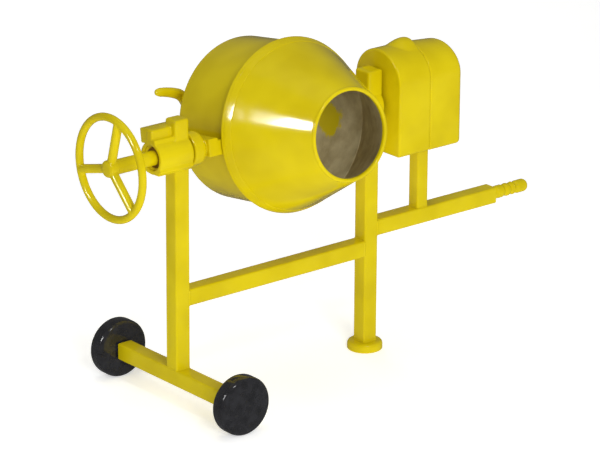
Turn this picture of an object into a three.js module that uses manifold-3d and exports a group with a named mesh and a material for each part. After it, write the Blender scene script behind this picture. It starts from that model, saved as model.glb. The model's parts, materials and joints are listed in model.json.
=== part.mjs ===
// Electric concrete mixer with a tipping drum, a handwheel and a belt-and-pinion drive.
// Millimetres, +Z up. The origin is the middle of the foot's underside, on the ground.
// X runs along the frame to the drawbar, and the drum's mouth looks towards -Y.
import * as THREE from 'three';
import { mergeVertices } from 'three/addons/utils/BufferGeometryUtils.js';
import Module from 'manifold-3d';

const wasm = await Module();
wasm.setup();

// ---------- driving dimensions ----------
const fitGap = 0.3;                 // between pieces that touch
const runGap = 0.5;                 // between pieces that turn in one another

// Frame of square tube
const tubeSide = 60;
const tubeWall = 3;
const tubeCorner = 6;
const trunnionZ = 920;              // height of the axis that the drum tips about
const lowerRailZ = 392;
const drawbarZ = 461;
const drawbarLength = 600;          // from the right post
const motorPostPlace = 245;         // from the right post
const motorPostSide = 50;

// Running gear
const wheelRadius = 105;
const wheelWidth = 64;
const wheelRound = 17;
const track = 696;                  // wheel centre to wheel centre
const axleRadius = 10;
const axleGroove = 1.5;             // depth of the grooves that hold the wheels on
const bushRadius = 18;
const wheelDome = 3;                // how far the wheel's face bulges
const footRadius = 64;
const footHeight = 33;

// Drawbar grip
const gripRadius = 24;
const gripLength = 170;
const gripSpigot = 60;              // length held inside the drawbar

// Bearing housings on the posts
const housingRadius = 58;
const housingOverhang = 82;         // how far the left housing stands out past its post
const bushWall = 9;
const towerHeight = 122;            // above the trunnion axis
const lugHeight = 98;               // above the trunnion axis
const lugThickness = 34;
const brakeRadius = 14;
const brakeRoof = 24;               // solid metal left over the brake
const blockFront = 56;              // left block's flat face, in front of the trunnion axis
const blockBack = 42;
const blockTop = 66;                // above the trunnion axis, where the block narrows to the lug
const driveTower = { width: 66, depth: 76, height: 134, offset: 4 };

// Trunnions and handwheel
const shaftRadius = 26;
const shaftBore = 17;               // the shaft is a tube from the handwheel inwards
const sleeveRadius = 30;            // hollow trunnion on the drive side
const sleeveBore = 17;
const handwheelX = -281;
const handwheelRadius = 177;        // to the middle of the rim
const handwheelTube = 14;
const spokeRadius = 16;
const spokeFirstAngle = -7;         // degrees from +Y towards +Z
const handwheelHubRadius = 30;
const handwheelHubLength = 32;
const shaftSpigot = 12;             // radius of the shaft's end inside the hub
const capHeight = 6;

// Drum, measured along its own axis from the trunnion, mouth side positive
const restTilt = 8;                 // degrees that the mouth looks up at rest
const drumRise = 10;                // drum axis above the trunnion axis
const drumWall = 3;
const panFrontRadius = 290;
const panTaper = 3;                 // the pan is this much smaller at the rear
const panRear = -220;
const panRound = 16;
const bottomDish = 26;
const seam = 90;                    // the pan meets the cone
const mouth = 375;
const mouthRadius = 150;
const lipRadius = 7;
const hubRadius = 70;
const hubPlateThickness = 8;

// Ring gear and pinion
const pinionTeeth = 12;
const gearModule = 10;
const addendum = 6;
const dedendum = 8;
const toothShare = 0.38;            // tooth thickness as a share of the pitch
const flankAngle = 20;
const toothEndRoom = 1.7;           // tooth to the skirt around it
const bandStandOut = 18;            // ring's rim beyond the pan
const skirtWall = 4;
const pinionFace = 6.5;
const driveShaftRadius = 12;

// Mixing blades
const bladeCount = 3;
const bladeHeight = 95;
const bladeLength = 240;
const bladeThickness = 5;
const bladeLean = 24;               // degrees that a blade leans along the drum

// Yoke
const armThickness = 42;            // along X
const armHeight = 54;
const armFront = 46;                // arm length in front of the trunnion, towards the mouth
const yokeReach = 320;              // trunnion to the middle of the cross bar
const yokeWall = 5;                 // arms and cross bar are box sections
const ringRoom = 8;                 // arm to the ring's rim
const leftArmRoom = 72;             // left post to the arm
const rightArmRoom = 2;
const leftBossRadius = 60;
const headDrop = 9;                 // left arm's head block below the arm
const spindleRadius = 24;
const spindleHousingRadius = 52;
const spindleHousingLength = 104;
const bearingWidth = 22;
const gripInset = 160;              // from the drum's axis towards the handwheel

// Motor casing: the belt cover and the motor cover meet at the casing's seam
const casingRoom = 45;              // right post's axis to the casing
const beltCoverDepth = 145;
const motorCoverDepth = 150;
const casingDrop = 179;             // below the trunnion axis
const casingRise = 196;             // above the trunnion axis
const archRise = 114;
const casingHalfWidth = 122;
const casingWall = 4;
const casingEdge = 9;
const casingFall = 14;              // the motor cover's top is this much lower at its outer end
const hump = { inset: 20, y: 8, reachX: 58, reachY: 52, top: 20 };
const plateThickness = 5;
const pulleyInset = 90;             // casing's left face to the middle of both pulleys
const pulleyWidth = 20;
const largePulleyRadius = 90;
const smallPulleyRadius = 15;
const beltThickness = 4;
const beltWidth = 14;
const motorRise = 116;              // motor shaft above the trunnion axis
const motorShaftRadius = 7;
const motorRadius = 56;
const motorLength = 122;
const switchSize = { width: 46, height: 78, depth: 16 };
const buttonRadius = 10;
const buttonTravel = 3;
const inletSize = { width: 54, height: 54, depth: 26 };

// ---------- derived places ----------
const half = tubeSide / 2;
const axleZ = wheelRadius;
const insideTube = tubeSide - 2 * tubeWall - 2 * fitGap;
const bandRadius = panFrontRadius + bandStandOut;
const armInner = bandRadius + ringRoom;
const leftArmX = half + leftArmRoom + armThickness / 2;
const drumX = leftArmX + armThickness / 2 + armInner;
const rightArmX = drumX + armInner + armThickness / 2;
const postSpan = rightArmX + armThickness / 2 + rightArmRoom + half;   // left post to right post
const drawbarEndX = postSpan + drawbarLength;
const motorPostX = postSpan + motorPostPlace;
const casingLeftX = postSpan + casingRoom;
const casingSeamX = casingLeftX + beltCoverDepth;
const casingRightX = casingSeamX + motorCoverDepth;
const casingBottomZ = trunnionZ - casingDrop;
const casingTopZ = trunnionZ + casingRise;
const casingShoulderZ = casingTopZ - archRise;
const pulleyX = casingLeftX + pulleyInset;
const motorShaftZ = trunnionZ + motorRise;
const panRearRadius = panFrontRadius - panTaper;
const coneRadius = panFrontRadius + drumWall;
const pinionPitch = (pinionTeeth * gearModule) / 2;
const rootPlane = pinionPitch + dedendum;     // bottom of the ring's tooth gaps
const tipPlane = pinionPitch - addendum;
const channelInner = panFrontRadius + 1.5;
const channelOuter = bandRadius - skirtWall;
const ringTeeth = Math.round((channelInner + channelOuter) / gearModule);
const pinionStartX = drumX + channelInner;
const pinionEndX = pinionStartX + pinionFace;
const spindleEnd = yokeReach + spindleHousingLength / 2;
const radians = THREE.MathUtils.degToRad;

// ---------- materials ----------
const finish = (color, metalness, roughness) => new THREE.MeshStandardMaterial({ color, metalness, roughness });
const yellowPaint = finish('#d9c417', 0, 0.35);
const blackWheel = finish('#2b2b2d', 0, 0.25);
const steel = finish('#9a9c9e', 1, 0.4);
const castIron = finish('#4b4a48', 0.8, 0.6);
const bronze = finish('#a9803f', 1, 0.45);
const whitePlastic = finish('#d8d8d2', 0, 0.5);
const blackPlastic = finish('#1d1d1f', 0, 0.45);
const beltRubber = finish('#232323', 0, 0.8);
const greenPlastic = finish('#2c8a46', 0, 0.4);
const redPlastic = finish('#b3261e', 0, 0.4);
const motorGrey = finish('#6e7276', 0.4, 0.5);

// ---------- shape helpers ----------

// A closed geometry as a solid that can be joined and cut.
function solid(geometry) {
  geometry.deleteAttribute('normal');
  geometry.deleteAttribute('uv');
  const merged = mergeVertices(geometry, 1e-3);
  return new wasm.Manifold(new wasm.Mesh({
    numProp: 3,
    vertProperties: new Float32Array(merged.attributes.position.array),
    triVerts: new Uint32Array(merged.index.array),
  }));
}

function geometryOf(body) {
  const mesh = body.getMesh();
  const geometry = new THREE.BufferGeometry();
  geometry.setAttribute('position', new THREE.BufferAttribute(new Float32Array(mesh.vertProperties), 3));
  geometry.setIndex(new THREE.BufferAttribute(new Uint32Array(mesh.triVerts), 1));
  geometry.computeVertexNormals();
  return geometry;
}

const unite = (...bodies) => bodies.reduce((sum, body) => sum.add(body));
const cut = (body, ...tools) => tools.reduce((rest, tool) => rest.subtract(tool), body);

// Points on an arc about (cx, cy), from angle a0 to a1 in degrees.
function arc(cx, cy, radius, a0, a1, steps) {
  return Array.from({ length: steps + 1 }, (_, i) => {
    const angle = radians(a0 + ((a1 - a0) * i) / steps);
    return [cx + radius * Math.cos(angle), cy + radius * Math.sin(angle)];
  });
}

// Turns a lathe's Y axis onto the named axis.
const latheTurn = {
  x: new THREE.Matrix4().makeBasis(
    new THREE.Vector3(0, 1, 0), new THREE.Vector3(1, 0, 0), new THREE.Vector3(0, 0, -1)),
  y: new THREE.Matrix4(),
  z: new THREE.Matrix4().makeRotationX(Math.PI / 2),
};

// A full turn of an anticlockwise [radius, place on the axis] outline.
function turned(outline, axis, at = {}, segments = 32) {
  const points = outline.map(([radius, place]) => new THREE.Vector2(radius, place));
  if (outline[0][0] > 0) points.push(points[0].clone());
  const geometry = new THREE.LatheGeometry(points, segments);
  geometry.applyMatrix4(latheTurn[axis]);
  geometry.translate(at.x ?? 0, at.y ?? 0, at.z ?? 0);
  return solid(geometry);
}

function bar(axis, start, end, radius, at = {}, segments = 32) {
  return turned([[0, start], [radius, start], [radius, end], [0, end]], axis, at, segments);
}

function ring(axis, start, end, inner, outer, at = {}, segments = 32) {
  return turned([[inner, start], [outer, start], [outer, end], [inner, end]], axis, at, segments);
}

// A box from its lowest to its highest corner.
function block(low, high) {
  const size = high.map((value, i) => value - low[i]);
  const middle = high.map((value, i) => (value + low[i]) / 2);
  return solid(new THREE.BoxGeometry(...size).translate(...middle));
}

function roundedRect(width, height, corner) {
  const [w, h] = [width / 2 - corner, height / 2 - corner];
  const shape = new THREE.Shape();
  shape.absarc(w, -h, corner, -Math.PI / 2, 0);
  shape.absarc(w, h, corner, 0, Math.PI / 2);
  shape.absarc(-w, h, corner, Math.PI / 2, Math.PI);
  shape.absarc(-w, -h, corner, Math.PI, Math.PI * 1.5);
  return shape;
}

// Turns a flat outline's plane for an extrusion along an axis: (y, z) for x, (z, x) for y.
const extrudeTurn = {
  x: new THREE.Matrix4().makeBasis(
    new THREE.Vector3(0, 1, 0), new THREE.Vector3(0, 0, 1), new THREE.Vector3(1, 0, 0)),
  y: new THREE.Matrix4().makeBasis(
    new THREE.Vector3(0, 0, 1), new THREE.Vector3(1, 0, 0), new THREE.Vector3(0, 1, 0)),
  z: new THREE.Matrix4(),
};

function extruded(shape, axis, start, end, at = {}, { edge = 0, curveSegments = 2 } = {}) {
  const geometry = new THREE.ExtrudeGeometry(shape, {
    depth: end - start - 2 * edge,
    curveSegments,
    bevelEnabled: edge > 0,
    bevelThickness: edge,
    bevelSize: edge,
    bevelOffset: -edge,
    bevelSegments: 1,
  });
  geometry.translate(0, 0, start + edge);
  geometry.applyMatrix4(extrudeTurn[axis]);
  geometry.translate(at.x ?? 0, at.y ?? 0, at.z ?? 0);
  return solid(geometry);
}

function squareTube(axis, start, end, side, at) {
  const shape = roundedRect(side, side, tubeCorner);
  shape.holes.push(roundedRect(side - 2 * tubeWall, side - 2 * tubeWall, tubeCorner - tubeWall));
  return extruded(shape, axis, start, end, at);
}

// ---------- assembly ----------
const mixer = new THREE.Group();        // the pieces' X counts from the left post
mixer.position.x = -postSpan;

const tipping = new THREE.Group();      // everything that tips with the drum
tipping.position.z = trunnionZ;
tipping.rotation.x = radians(-restTilt);
mixer.add(tipping);

const drum = new THREE.Group();         // built about Y, with the mouth towards -Y
drum.position.set(drumX, 0, drumRise);
tipping.add(drum);

function add(name, body, material, parent = mixer) {
  const mesh = new THREE.Mesh(geometryOf(body), material);
  mesh.name = name;
  parent.add(mesh);
}

// ---------- frame ----------
function buildFrame() {
  const beamEnd = track / 2 - wheelWidth / 2 - 8;
  const beam = squareTube('y', -beamEnd, beamEnd, tubeSide, { z: axleZ });
  add('axle_beam', beam, yellowPaint);
  for (const [name, start] of [['axle_plug_near', -beamEnd], ['axle_plug_far', beamEnd - 24]]) {
    const plug = extruded(roundedRect(insideTube, insideTube, 2.5), 'y', start, start + 24, { z: axleZ });
    add(name, cut(plug, bar('y', start - 1, start + 25, axleRadius + fitGap, { z: axleZ }, 16)), blackPlastic);
  }

  const postTop = trunnionZ - Math.sqrt(housingRadius ** 2 - half ** 2) + 1;
  const post = (x, bottom) => cut(squareTube('z', bottom, postTop, tubeSide, { x }),
    bar('x', x - tubeSide, x + tubeSide, housingRadius + fitGap, { z: trunnionZ }, 32));
  const blockRoom = extruded(blockShape(), 'x', -tubeSide, tubeSide, { z: trunnionZ - fitGap });
  add('left_post', cut(post(0, axleZ + half + fitGap), blockRoom), yellowPaint);
  add('right_post', post(postSpan, footHeight + fitGap), yellowPaint);
  add('lower_rail', squareTube('x', half + fitGap, postSpan - half - fitGap, tubeSide, { z: lowerRailZ }),
    yellowPaint);
  add('drawbar', squareTube('x', postSpan + half + fitGap, drawbarEndX, tubeSide, { z: drawbarZ }), yellowPaint);
  add('motor_post', squareTube('z', drawbarZ + half + fitGap, casingBottomZ + casingWall + 6, motorPostSide,
    { x: motorPostX }), yellowPaint);

  add('foot_pad', turned([
    [0, 0], [footRadius - 6, 0], ...arc(footRadius - 6, 6, 6, -45, 0, 1),
    ...arc(footRadius - 14, footHeight - 14, 14, 0, 90, 3), [0, footHeight],
  ], 'z', { x: postSpan }), yellowPaint);
  add('tow_grip', towGrip(), yellowPaint);
}

// Three beads and a long rounded end, on a square spigot held in the drawbar.
function towGrip() {
  const waist = gripRadius - 6;
  const waists = [0.08, 0.34, 0.52, 0.65].map((share) => share * gripLength);
  const outline = [[0, 0], [waist, 0]];
  for (const [i, start] of waists.entries()) {
    const end = waists[i + 1];
    outline.push([waist, start], [gripRadius - 1, start + 5]);
    if (end) outline.push([gripRadius, (start + end) / 2], [gripRadius - 1, end - 5]);
  }
  outline.push([gripRadius, gripLength - 40], ...arc(gripRadius - 18, gripLength - 18, 18, 20, 90, 3));
  outline.push([0, gripLength]);
  const hand = turned(outline, 'x', { x: drawbarEndX + fitGap, z: drawbarZ }, 16);
  const spigot = extruded(roundedRect(insideTube, insideTube, 2.5), 'x', drawbarEndX - gripSpigot,
    drawbarEndX + 2, { z: drawbarZ });
  return unite(hand, spigot);
}

// ---------- wheels ----------

// One-piece wheels with a blind bore. A bush in each one snaps into a groove near the rod's end.
function buildWheels() {
  const inner = -wheelWidth / 2;
  const outer = wheelWidth / 2;
  const shoulder = wheelRadius - wheelRound;
  const bore = axleRadius + runGap;
  const bushEnd = outer - 16;
  const grooveAt = bushEnd - 12;
  const wheel = [
    [0, bushEnd], [bushRadius, bushEnd], [bushRadius, inner],
    ...arc(shoulder, inner + wheelRound, wheelRound, -90, 0, 3),
    ...arc(shoulder, outer - wheelRound, wheelRound, 0, 90, 3), [shoulder / 2, outer + wheelDome * 0.75],
    [0, outer + wheelDome],
  ];
  const bush = [
    [bore, inner], [bushRadius - fitGap, inner], [bushRadius - fitGap, bushEnd - fitGap],
    [bore, bushEnd - fitGap], [bore, grooveAt + 1], [bore - axleGroove, grooveAt + 1],
    [bore - axleGroove, grooveAt - 1], [bore, grooveAt - 1],
  ];
  for (const [suffix, side] of [['near', -1], ['far', 1]]) {
    const at = { y: (side * track) / 2, z: axleZ };
    const facing = (outline) => (side > 0 ? outline
      : outline.map(([radius, place]) => [radius, -place]).reverse());
    add(`wheel_${suffix}`, turned(facing(wheel), 'y', at, 28), blackWheel);
    add(`hub_bush_${suffix}`, turned(facing(bush), 'y', at, 16), whitePlastic);
  }

  const rodEnd = track / 2 + bushEnd - 3;
  const groove = (side) => ring('y', side * (track / 2 + grooveAt) - 2, side * (track / 2 + grooveAt) + 2,
    axleRadius - axleGroove, axleRadius + 1, { z: axleZ }, 16);
  add('axle_rod', cut(bar('y', -rodEnd, rodEnd, axleRadius, { z: axleZ }, 16), groove(-1), groove(1)), steel);
}

// ---------- bearings on the posts ----------
function buildBearings() {
  const alongX = (start, end, radius) => bar('x', start, end, radius, { z: trunnionZ }, 32);
  const tower = extruded(roundedRect(tubeSide, tubeSide, 8), 'z', trunnionZ, trunnionZ + towerHeight, {},
    { edge: 7 });

  const start = -half - housingOverhang;
  const recess = 12;
  const bore = shaftRadius + runGap + bushWall;
  const lug = extruded(roundedRect(lugThickness, lugHeight, 8), 'x', start, 0,
    { y: lugThickness / 2 - 6, z: trunnionZ + lugHeight / 2 }, { edge: 6 });
  const brakeTop = trunnionZ + towerHeight - brakeRoof;
  add('left_bearing', cut(
    unite(alongX(start, half, housingRadius), tower, lug,
      extruded(blockShape(), 'x', start, half, { z: trunnionZ })),
    alongX(start - 1, half + 1, bore),
    alongX(start - 1, start + recess, bore + 8),
    bar('z', trunnionZ, brakeTop, brakeRadius, {}, 20),
  ), yellowPaint);
  add('left_bush', cut(
    ring('x', start + recess, half, shaftRadius + runGap, bore - fitGap, { z: trunnionZ }, 32),
    bar('z', trunnionZ, trunnionZ + housingRadius, brakeRadius + fitGap, {}, 20),
  ), bronze);

  const rightBore = sleeveRadius + runGap + bushWall;
  const [rightStart, rightEnd] = [postSpan - half, postSpan + half];
  const rightTower = extruded(roundedRect(driveTower.width, driveTower.depth, 8), 'z', trunnionZ,
    trunnionZ + driveTower.height, { x: postSpan + driveTower.offset }, { edge: 7 });
  add('right_bearing', cut(
    unite(alongX(rightStart, rightEnd, housingRadius), rightTower),
    alongX(rightStart - 1, rightEnd + driveTower.width / 2, rightBore),
  ), yellowPaint);
  add('right_bush', ring('x', rightStart, rightEnd, sleeveRadius + runGap, rightBore - fitGap,
    { z: trunnionZ }, 32), bronze);

  // A sprung fibre pad in the left tower holds the drum at any tilt.
  const padTop = trunnionZ + shaftRadius + 24;
  add('brake_pad', cut(bar('z', trunnionZ, padTop, brakeRadius - runGap, {}, 20),
    alongX(-tubeSide, tubeSide, shaftRadius + fitGap)), blackPlastic);
  add('brake_spring', coilSpring(padTop + fitGap, brakeTop - fitGap, 9.5, 1.6, 4), steel);
}

// The left housing's block, seen along X: upright faces that lean in towards the lug.
function blockShape() {
  const shape = new THREE.Shape();
  const low = -housingRadius + 18;
  shape.moveTo(-blockFront, low);
  shape.lineTo(-blockFront + 16, -housingRadius + 2);
  shape.lineTo(blockBack - 16, -housingRadius + 2);
  shape.lineTo(blockBack, low);
  shape.lineTo(lugThickness - 6, blockTop);
  shape.lineTo(-20, blockTop);
  shape.closePath();
  return shape;
}

// A round-wire compression spring along Z.
function coilSpring(bottom, top, radius, wire, turns) {
  const stepsPerTurn = 8;
  const steps = turns * stepsPerTurn;
  const points = Array.from({ length: steps + 1 }, (_, i) => {
    const angle = (i / stepsPerTurn) * 2 * Math.PI;
    const height = bottom + wire + (top - bottom - 2 * wire) * (i / steps);
    return new THREE.Vector3(radius * Math.cos(angle), radius * Math.sin(angle), height);
  });
  const section = new THREE.Shape().absarc(0, 0, wire * 0.9, 0, 2 * Math.PI);
  const extrudePath = new THREE.CatmullRomCurve3(points);
  return solid(new THREE.ExtrudeGeometry(section, { steps, extrudePath, curveSegments: 3 }));
}

// ---------- handwheel, trunnions and yoke: they tip with the drum ----------
function buildHandwheel() {
  const hubStart = handwheelX - handwheelHubLength / 2;
  const hubEnd = handwheelX + handwheelHubLength / 2;
  const shaftEnd = leftArmX;
  add('trunnion_shaft', turned([
    [0, hubStart], [shaftSpigot, hubStart], [shaftSpigot, hubEnd + fitGap], [shaftRadius, hubEnd + fitGap],
    [shaftRadius, shaftEnd], [shaftBore, shaftEnd], [shaftBore, hubEnd + shaftBore], [0, hubEnd + shaftBore],
  ], 'x', {}, 32), yellowPaint, tipping);

  let wheel = unite(
    solid(new THREE.TorusGeometry(handwheelRadius, handwheelTube, 8, 32).rotateY(Math.PI / 2)
      .translate(handwheelX, 0, 0)),
    bar('x', hubStart, hubEnd, handwheelHubRadius),
  );
  for (let i = 0; i < 3; i += 1) {
    const spoke = new THREE.CylinderGeometry(spokeRadius, spokeRadius, handwheelRadius, 8);
    spoke.translate(0, handwheelRadius / 2, 0);
    spoke.rotateX(radians(spokeFirstAngle + i * 120));
    wheel = wheel.add(solid(spoke.translate(handwheelX, 0, 0)));
  }
  wheel = cut(wheel, bar('x', hubStart - 1, hubEnd + 1, shaftSpigot + fitGap));
  add('handwheel', wheel, yellowPaint, tipping);
  const capRadius = handwheelHubRadius - 2;
  add('handwheel_cap', turned([
    [0, hubStart - capHeight], [capRadius * 0.6, hubStart - capHeight * 0.85],
    [capRadius * 0.9, hubStart - capHeight * 0.5], [capRadius, hubStart - fitGap], [0, hubStart - fitGap],
  ], 'x', {}, 24), yellowPaint, tipping);
}

function buildYoke() {
  const [low, high] = [-armHeight / 2, armHeight / 2];
  const armRear = yokeReach + low - fitGap;
  const arm = (x) => block([x - armThickness / 2, -armFront, low], [x + armThickness / 2, armRear, high]);
  // the hollow stops short of the trunnion, and is open where the cross bar closes it
  const hollow = (x, from) => block([x - armThickness / 2 + yokeWall, from, low + yokeWall],
    [x + armThickness / 2 - yokeWall, armRear + 1, high - yokeWall]);
  const bossStart = half + 6;
  const bossCone = leftArmX - armThickness / 2;
  const panRoom = 6;
  const headEnd = drumX - panFrontRadius - panRoom;
  add('yoke_arm_left', cut(
    unite(
      arm(leftArmX),
      turned([[0, bossStart], [leftBossRadius - 5, bossStart], [leftBossRadius, bossStart + 6],
        [leftBossRadius, bossStart + 42], [armHeight / 2, bossCone + 4], [0, bossCone + 4]], 'x', {}, 28),
      block([bossCone, -armFront, low - headDrop], [headEnd, -armFront + 38, high - headDrop]),
    ),
    bar('x', bossStart - 1, leftArmX + fitGap, shaftRadius + fitGap, {}, 32),
    hollow(leftArmX, leftBossRadius + yokeWall),
  ), yellowPaint, tipping);
  add('yoke_arm_right', cut(arm(rightArmX),
    bar('x', rightArmX - armThickness, rightArmX + armThickness, sleeveBore),
    hollow(rightArmX, sleeveRadius + yokeWall)), yellowPaint, tipping);

  const sleeveStart = rightArmX + armThickness / 2 + fitGap;
  const sleeveEnd = postSpan + half + 6;
  add('right_trunnion', ring('x', sleeveStart, sleeveEnd, sleeveBore, sleeveRadius, {}, 32), steel, tipping);
  const bushLength = 20;
  for (const [name, start] of [
    ['shaft_bush_inner', rightArmX - armThickness / 2],
    ['shaft_bush_outer', sleeveEnd - bushLength],
  ]) {
    add(name, ring('x', start, start + bushLength, driveShaftRadius + runGap, sleeveBore - fitGap, {}, 24),
      bronze, tipping);
  }

  // The cross bar is one piece on each side of the spindle housing.
  const spindleAt = { x: drumX, z: drumRise };
  const housingStart = spindleEnd - spindleHousingLength;
  const socket = bar('y', housingStart - 1, spindleEnd + 1, spindleHousingRadius + fitGap, spindleAt, 32);
  const crossBar = (from, to, hollowFrom, hollowTo) => cut(
    block([from, yokeReach + low, low], [to, yokeReach + high, high]),
    block([hollowFrom, yokeReach + low + yokeWall, low + yokeWall],
      [hollowTo, yokeReach + high - yokeWall, high - yokeWall]),
    socket,
  );
  const [leftEnd, rightEnd] = [leftArmX - armThickness / 2, rightArmX + armThickness / 2];
  add('yoke_cross_left', crossBar(leftEnd, drumX, leftEnd + yokeWall, drumX), yellowPaint, tipping);
  add('yoke_cross_right', crossBar(drumX, rightEnd, drumX, rightEnd - yokeWall), yellowPaint, tipping);
  add('yoke_grip', yokeGrip(), yellowPaint, tipping);

  const seat = spindleHousingRadius - 12;
  const shoulder = spindleRadius + 6;
  add('spindle_housing', turned([
    [shoulder, housingStart + bearingWidth], [seat, housingStart + bearingWidth], [seat, housingStart],
    [spindleHousingRadius, housingStart], [spindleHousingRadius, spindleEnd - 8],
    [spindleHousingRadius - 8, spindleEnd], [seat, spindleEnd], [seat, spindleEnd - bearingWidth],
    [shoulder, spindleEnd - bearingWidth],
  ], 'y', spindleAt, 32), yellowPaint, tipping);
  for (const [name, start] of [
    ['spindle_bearing_front', housingStart],
    ['spindle_bearing_rear', spindleEnd - bearingWidth],
  ]) {
    add(name, ring('y', start + fitGap, start + bearingWidth - fitGap, spindleRadius + fitGap, seat - fitGap,
      spindleAt), steel, tipping);
  }
}

// A horn-shaped hand grip that stands on the cross bar and bends outwards.
function yokeGrip() {
  const foot = armHeight / 2 + fitGap;
  const spine = new THREE.CatmullRomCurve3([
    [0, foot], [0, foot + 42], [-26, foot + 84], [-74, foot + 104], [-138, foot + 116],
  ].map(([x, z]) => new THREE.Vector3(drumX - gripInset + x, yokeReach, z)));
  const [rootRadius, tipRadius, steps] = [25, 15, 10];
  const outline = [[0, 0]];
  for (let i = 0; i < steps; i += 1) {
    const t = i / steps;
    outline.push([THREE.MathUtils.lerp(rootRadius, tipRadius, t), t]);
  }
  outline.push([tipRadius * 0.75, 0.97], [0, 1]);
  const geometry = new THREE.LatheGeometry(outline.map(([r, t]) => new THREE.Vector2(r, t)), 14);
  const position = geometry.attributes.position;
  const sideways = new THREE.Vector3(0, 1, 0);
  for (let i = 0; i < position.count; i += 1) {
    const t = THREE.MathUtils.clamp(position.getY(i), 0, 1);
    const across = new THREE.Vector3().crossVectors(spine.getTangentAt(t), sideways);
    const point = spine.getPointAt(t)
      .addScaledVector(across, position.getX(i))
      .addScaledVector(sideways, position.getZ(i));
    position.setXYZ(i, point.x, point.y, point.z);
  }
  return solid(geometry);
}

// ---------- drum: turns about its own axis inside the yoke ----------

// A full turn of a [radius, distance towards the mouth] outline about the drum's axis.
function drumTurned(outline, segments = 40) {
  return turned(outline.map(([radius, place]) => [radius, -place]).reverse(), 'y', {}, segments);
}

// The inside of the pan and the cone, less the wall and a small gap.
function drumHollow(gap) {
  const reach = drumWall + gap;
  return drumTurned([
    [0, panRear + reach], [panRearRadius - panRound, panRear + reach], [panRearRadius - reach, panRear + panRound],
    [panFrontRadius - reach, seam], [mouthRadius, mouth], [0, mouth],
  ]);
}

function buildDrum() {
  const dishRear = panRear - bottomDish;
  const cornerRadius = panRearRadius - panRound;
  const cornerPlace = panRear + panRound;
  const spindleHole = spindleRadius + fitGap;
  add('drum_pan', drumTurned([
    [spindleHole, dishRear], [hubRadius, dishRear], ...arc(cornerRadius, cornerPlace, panRound, -90, 0, 3),
    [panFrontRadius, seam], [panFrontRadius - drumWall, seam],
    ...arc(cornerRadius, cornerPlace, panRound - drumWall, 0, -90, 3),
    [hubRadius, dishRear + drumWall], [spindleHole, dishRear + drumWall],
  ]), yellowPaint, drum);

  const beadRadius = mouthRadius + lipRadius;
  const beadPlace = mouth - lipRadius;
  add('drum_cone', drumTurned([
    [coneRadius, seam + fitGap], ...arc(beadRadius, beadPlace, lipRadius, -20, 250, 6),
    [mouthRadius + 12.5, mouth - 17], [coneRadius - drumWall - 0.5, seam + fitGap],
  ]), yellowPaint, drum);

  const ringBody = drumTurned([
    [panFrontRadius + fitGap, rootPlane], [channelOuter, rootPlane], [channelOuter, tipPlane - 2],
    [bandRadius, tipPlane - 2], [bandRadius, tipPlane], [coneRadius + 1, seam], [panFrontRadius + fitGap, seam],
  ]);
  add('ring_gear', ringTeethOn(ringBody), yellowPaint, drum);

  const hollow = drumHollow(fitGap);
  for (let i = 0; i < bladeCount; i += 1) {
    const plate = new THREE.BoxGeometry(bladeHeight + 40, bladeLength, bladeThickness);
    plate.rotateX(radians(bladeLean));
    plate.translate(panFrontRadius - bladeHeight / 2 + 20, -(panRear + seam) / 2 - 10, 0);
    plate.rotateY(radians(200 + (360 / bladeCount) * i));
    add(`mixing_blade_${i + 1}`, solid(plate).intersect(hollow), yellowPaint, drum);
  }

  add('hub_plate', drumTurned([
    [spindleHole, dishRear - hubPlateThickness], [hubRadius - 6, dishRear - hubPlateThickness],
    [hubRadius, dishRear - hubPlateThickness + 4], [hubRadius, dishRear - fitGap], [spindleHole, dishRear - fitGap],
  ], 32), yellowPaint, drum);
  const flange = dishRear + drumWall + fitGap;
  const spindleTail = -spindleEnd - 16;
  add('spindle', drumTurned([
    [0, spindleTail], [spindleRadius - 2, spindleTail], [spindleRadius, spindleTail + 2],
    [spindleRadius, flange], [hubRadius - 8, flange], [hubRadius - 8, flange + 5], [hubRadius - 20, flange + 10],
    [0, flange + 10],
  ], 32), steel, drum);
  const nut = bar('y', spindleEnd + 1, spindleEnd + 14, 38, {}, 6);
  add('spindle_nut', cut(nut, bar('y', spindleEnd, spindleEnd + 15, spindleRadius + fitGap)), steel, drum);
}

// Straight crown teeth on the rear face of the ring, with a gap facing the pinion.
function ringTeethOn(ringBody) {
  const middleRadius = (channelInner + channelOuter) / 2;
  const toothLength = channelOuter - channelInner - toothEndRoom;
  const tooth = toothOutline((toothShare * 2 * Math.PI * middleRadius) / ringTeeth);
  const pinionAngle = Math.asin(drumRise / middleRadius);
  const alongRadius = new THREE.Matrix4().makeBasis(
    new THREE.Vector3(0, 0, -1), new THREE.Vector3(0, 1, 0), new THREE.Vector3(1, 0, 0));
  const teeth = Array.from({ length: ringTeeth }, (_, i) => {
    const geometry = new THREE.ExtrudeGeometry(tooth, { depth: toothLength, bevelEnabled: false });
    geometry.applyMatrix4(alongRadius);
    geometry.translate(channelInner, 0, 0);
    geometry.rotateY(pinionAngle + ((i + 0.5) * 2 * Math.PI) / ringTeeth);
    return solid(geometry);
  });
  return ringBody.add(unite(...teeth));
}

// A ring tooth's section, seen along the radius: its tip looks to the rear, towards +Y.
function toothOutline(thickness) {
  const lean = Math.tan(radians(flankAngle));
  const tip = thickness / 2 - addendum * lean;
  const root = thickness / 2 + (dedendum + 1) * lean;
  const shape = new THREE.Shape();
  shape.moveTo(-root, -(rootPlane + 1));
  shape.lineTo(root, -(rootPlane + 1));
  shape.lineTo(tip, -tipPlane);
  shape.lineTo(-tip, -tipPlane);
  shape.closePath();
  return shape;
}

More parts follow.
